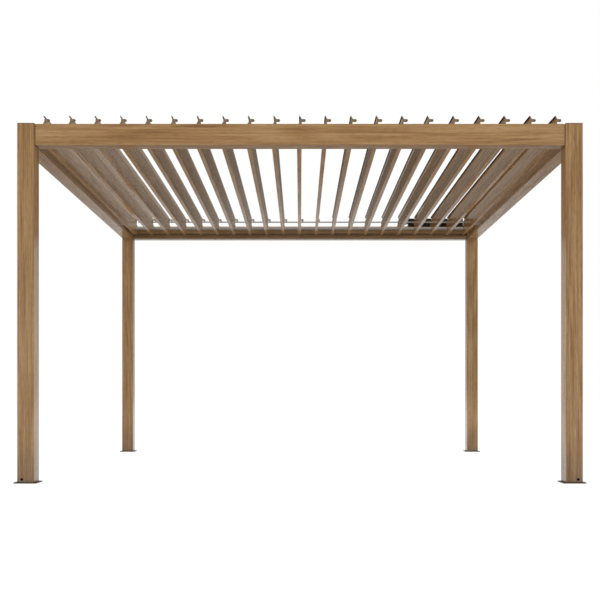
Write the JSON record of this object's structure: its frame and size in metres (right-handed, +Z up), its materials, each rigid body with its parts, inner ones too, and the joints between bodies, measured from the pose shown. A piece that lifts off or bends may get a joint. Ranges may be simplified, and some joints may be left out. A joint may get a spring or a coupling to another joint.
{
  "type": "motorized pergola",
  "caption": "Free-standing metal pergola in a wood-look finish, with a flat roof of tilting louvres, inner rain gutters, a drive bar and a linear actuator.",
  "frame": {"origin": "middle of the footprint, on the ground under the base plates", "axes": "+X to the right along the front, +Y to the rear, along the louvres, +Z up"},
  "size_m": [4.04, 4.04, 2.6395],
  "materials": {
    "wood_finish": "satin powder coat that imitates wood grain",
    "louvre_finish": "satin powder coat that imitates wood grain",
    "dark_bronze": "satin dark bronze powder coat",
    "rail_metal": "mill finish, satin",
    "linkage_metal": "anodized, satin",
    "black_housing": "satin black",
    "black_filler": "matt black"
  },
  "bodies": {
    "frame": {"post_front_left": "wood_finish", "post_front_right": "wood_finish", "post_rear_left": "wood_finish", "post_rear_right": "wood_finish", "base_plate_front_left": "dark_bronze", "base_plate_front_right": "dark_bronze", "base_plate_rear_left": "dark_bronze", "base_plate_rear_right": "dark_bronze", "post_caps": "wood_finish", "beam_rear": "wood_finish", "beam_left": "wood_finish", "beam_front": "wood_finish", "beam_right": "wood_finish", "gutter_rear": "wood_finish", "gutter_left": "wood_finish", "gutter_front": "wood_finish", "gutter_right": "wood_finish", "corner_connectors": "black_filler", "bearing_rail_front": "rail_metal", "bearing_rail_rear": "rail_metal", "actuator_housing": "black_housing"},
    "louvre_01": {"louvre_01": "louvre_finish"},
    "louvre_02": {"louvre_02": "louvre_finish"},
    "louvre_03": {"louvre_03": "louvre_finish"},
    "louvre_04": {"louvre_04": "louvre_finish"},
    "louvre_05": {"louvre_05": "louvre_finish"},
    "louvre_06": {"louvre_06": "louvre_finish"},
    "louvre_07": {"louvre_07": "louvre_finish"},
    "louvre_08": {"louvre_08": "louvre_finish"},
    "louvre_09": {"louvre_09": "louvre_finish"},
    "louvre_10": {"louvre_10": "louvre_finish"},
    "louvre_11": {"louvre_11": "louvre_finish"},
    "louvre_12": {"louvre_12": "louvre_finish"},
    "louvre_13": {"louvre_13": "louvre_finish"},
    "louvre_14": {"louvre_14": "louvre_finish"},
    "louvre_15": {"louvre_15": "louvre_finish"},
    "louvre_16": {"louvre_16": "louvre_finish"},
    "louvre_17": {"louvre_17": "louvre_finish"},
    "louvre_18": {"louvre_18": "louvre_finish"},
    "louvre_19": {"louvre_19": "louvre_finish"},
    "louvre_20": {"louvre_20": "louvre_finish"},
    "louvre_21": {"louvre_21": "louvre_finish"},
    "drive_bar": {"drive_bar": "linkage_metal", "bar_stud": "linkage_metal"},
    "push_rod": {"actuator_rod": "linkage_metal"}
  },
  "joints": [
    {"name": "louvre_11_tilt", "type": "hinge", "parent": "frame", "child": "louvre_11", "pos_m": [0, 0, 2.54], "axis": [0, -1, 0], "range_deg": [0, 82]},
    {"name": "louvre_01_tilt", "type": "hinge", "parent": "frame", "child": "louvre_01", "pos_m": [-1.843, 0, 2.54], "axis": [0, -1, 0], "range_deg": [0, 82]},
    {"name": "louvre_02_tilt", "type": "hinge", "parent": "frame", "child": "louvre_02", "pos_m": [-1.6587, 0, 2.54], "axis": [0, -1, 0], "range_deg": [0, 82]},
    {"name": "louvre_03_tilt", "type": "hinge", "parent": "frame", "child": "louvre_03", "pos_m": [-1.4744, 0, 2.54], "axis": [0, -1, 0], "range_deg": [0, 82]},
    {"name": "louvre_04_tilt", "type": "hinge", "parent": "frame", "child": "louvre_04", "pos_m": [-1.2901, 0, 2.54], "axis": [0, -1, 0], "range_deg": [0, 82]},
    {"name": "louvre_05_tilt", "type": "hinge", "parent": "frame", "child": "louvre_05", "pos_m": [-1.1058, 0, 2.54], "axis": [0, -1, 0], "range_deg": [0, 82]},
    {"name": "louvre_06_tilt", "type": "hinge", "parent": "frame", "child": "louvre_06", "pos_m": [-0.9215, 0, 2.54], "axis": [0, -1, 0], "range_deg": [0, 82]},
    {"name": "louvre_07_tilt", "type": "hinge", "parent": "frame", "child": "louvre_07", "pos_m": [-0.7372, 0, 2.54], "axis": [0, -1, 0], "range_deg": [0, 82]},
    {"name": "louvre_08_tilt", "type": "hinge", "parent": "frame", "child": "louvre_08", "pos_m": [-0.5529, 0, 2.54], "axis": [0, -1, 0], "range_deg": [0, 82]},
    {"name": "louvre_09_tilt", "type": "hinge", "parent": "frame", "child": "louvre_09", "pos_m": [-0.3686, 0, 2.54], "axis": [0, -1, 0], "range_deg": [0, 82]},
    {"name": "louvre_10_tilt", "type": "hinge", "parent": "frame", "child": "louvre_10", "pos_m": [-0.1843, 0, 2.54], "axis": [0, -1, 0], "range_deg": [0, 82]},
    {"name": "louvre_12_tilt", "type": "hinge", "parent": "frame", "child": "louvre_12", "pos_m": [0.1843, 0, 2.54], "axis": [0, -1, 0], "range_deg": [0, 82]},
    {"name": "louvre_13_tilt", "type": "hinge", "parent": "frame", "child": "louvre_13", "pos_m": [0.3686, 0, 2.54], "axis": [0, -1, 0], "range_deg": [0, 82]},
    {"name": "louvre_14_tilt", "type": "hinge", "parent": "frame", "child": "louvre_14", "pos_m": [0.5529, 0, 2.54], "axis": [0, -1, 0], "range_deg": [0, 82]},
    {"name": "louvre_15_tilt", "type": "hinge", "parent": "frame", "child": "louvre_15", "pos_m": [0.7372, 0, 2.54], "axis": [0, -1, 0], "range_deg": [0, 82]},
    {"name": "louvre_16_tilt", "type": "hinge", "parent": "frame", "child": "louvre_16", "pos_m": [0.9215, 0, 2.54], "axis": [0, -1, 0], "range_deg": [0, 82]},
    {"name": "louvre_17_tilt", "type": "hinge", "parent": "frame", "child": "louvre_17", "pos_m": [1.1058, 0, 2.54], "axis": [0, -1, 0], "range_deg": [0, 82]},
    {"name": "louvre_18_tilt", "type": "hinge", "parent": "frame", "child": "louvre_18", "pos_m": [1.2901, 0, 2.54], "axis": [0, -1, 0], "range_deg": [0, 82]},
    {"name": "louvre_19_tilt", "type": "hinge", "parent": "frame", "child": "louvre_19", "pos_m": [1.4744, 0, 2.54], "axis": [0, -1, 0], "range_deg": [0, 82]},
    {"name": "louvre_20_tilt", "type": "hinge", "parent": "frame", "child": "louvre_20", "pos_m": [1.6587, 0, 2.54], "axis": [0, -1, 0], "range_deg": [0, 82]},
    {"name": "louvre_21_tilt", "type": "hinge", "parent": "frame", "child": "louvre_21", "pos_m": [1.843, 0, 2.54], "axis": [0, -1, 0], "range_deg": [0, 82]},
    {"name": "drive_bar_pin", "type": "hinge", "parent": "louvre_11", "child": "drive_bar", "pos_m": [0.0305, 1.915, 2.6045], "axis": [0, -1, 0], "range_deg": [-82, 0]},
    {"name": "push_rod_slide", "type": "slide", "parent": "frame", "child": "push_rod", "axis": [-1, 0, 0], "range_m": [0, 0.0932]}
  ],
  "couplings": [
    {"joint": "louvre_01_tilt", "follows": "louvre_11_tilt", "ratio": 1},
    {"joint": "louvre_02_tilt", "follows": "louvre_11_tilt", "ratio": 1},
    {"joint": "louvre_03_tilt", "follows": "louvre_11_tilt", "ratio": 1},
    {"joint": "louvre_04_tilt", "follows": "louvre_11_tilt", "ratio": 1},
    {"joint": "louvre_05_tilt", "follows": "louvre_11_tilt", "ratio": 1},
    {"joint": "louvre_06_tilt", "follows": "louvre_11_tilt", "ratio": 1},
    {"joint": "louvre_07_tilt", "follows": "louvre_11_tilt", "ratio": 1},
    {"joint": "louvre_08_tilt", "follows": "louvre_11_tilt", "ratio": 1},
    {"joint": "louvre_09_tilt", "follows": "louvre_11_tilt", "ratio": 1},
    {"joint": "louvre_10_tilt", "follows": "louvre_11_tilt", "ratio": 1},
    {"joint": "louvre_12_tilt", "follows": "louvre_11_tilt", "ratio": 1},
    {"joint": "louvre_13_tilt", "follows": "louvre_11_tilt", "ratio": 1},
    {"joint": "louvre_14_tilt", "follows": "louvre_11_tilt", "ratio": 1},
    {"joint": "louvre_15_tilt", "follows": "louvre_11_tilt", "ratio": 1},
    {"joint": "louvre_16_tilt", "follows": "louvre_11_tilt", "ratio": 1},
    {"joint": "louvre_17_tilt", "follows": "louvre_11_tilt", "ratio": 1},
    {"joint": "louvre_18_tilt", "follows": "louvre_11_tilt", "ratio": 1},
    {"joint": "louvre_19_tilt", "follows": "louvre_11_tilt", "ratio": 1},
    {"joint": "louvre_20_tilt", "follows": "louvre_11_tilt", "ratio": 1},
    {"joint": "louvre_21_tilt", "follows": "louvre_11_tilt", "ratio": 1},
    {"joint": "drive_bar_pin", "follows": "louvre_11_tilt", "ratio": -1},
    {"joint": "push_rod_slide", "follows": "louvre_11_tilt", "m_per_rad": 0.0651}
  ]
}
